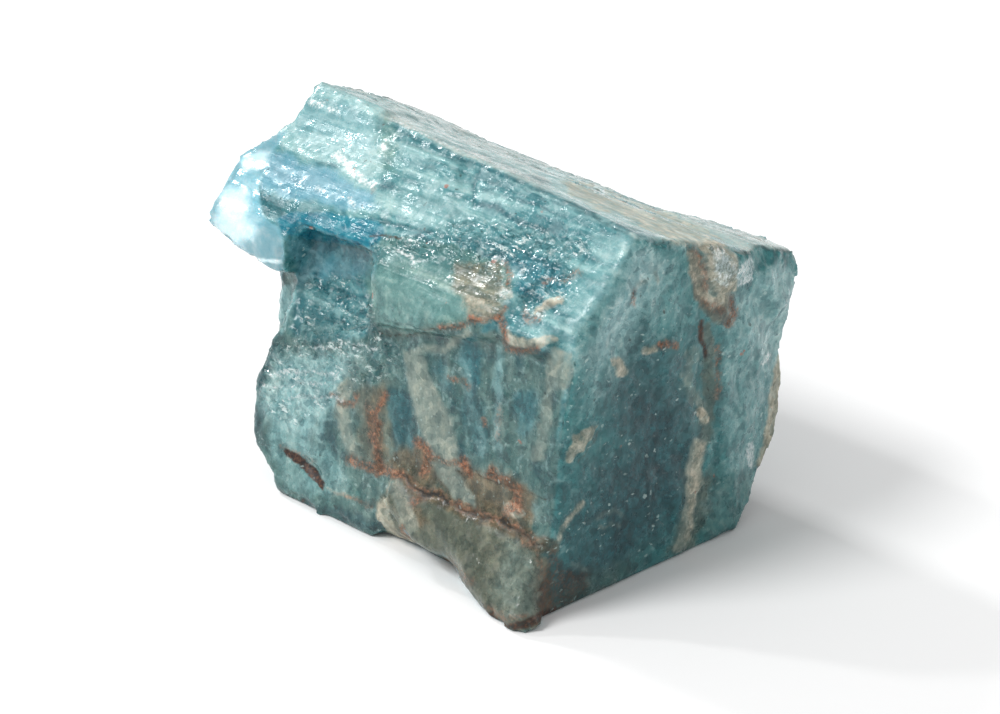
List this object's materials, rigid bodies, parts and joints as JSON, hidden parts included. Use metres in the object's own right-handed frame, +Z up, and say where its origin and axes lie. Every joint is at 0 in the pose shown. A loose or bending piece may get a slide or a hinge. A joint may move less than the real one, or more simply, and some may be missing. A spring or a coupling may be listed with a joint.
{
  "type": "aquamarine crystal",
  "caption": "Rough broken aquamarine crystal lying on a prism face, with a striated upper slope, a clear overhanging tip, a raised plate, recess, ledges and a flat fractured end.",
  "frame": {"origin": "centre of the bounding box in plan, on the surface the crystal lies on", "axes": "+X along the crystal's c axis towards its flat fractured end, -Y out of the veined front face, +Z up"},
  "size_m": [0.045, 0.0316, 0.028],
  "materials": {
    "aquamarine": "translucent sea-blue beryl, vitreous on fresh breaks and matt on weathered skin, with cream veins and rust stains"
  },
  "bodies": {
    "root": {"aquamarine_crystal": "aquamarine"}
  },
  "joints": []
}
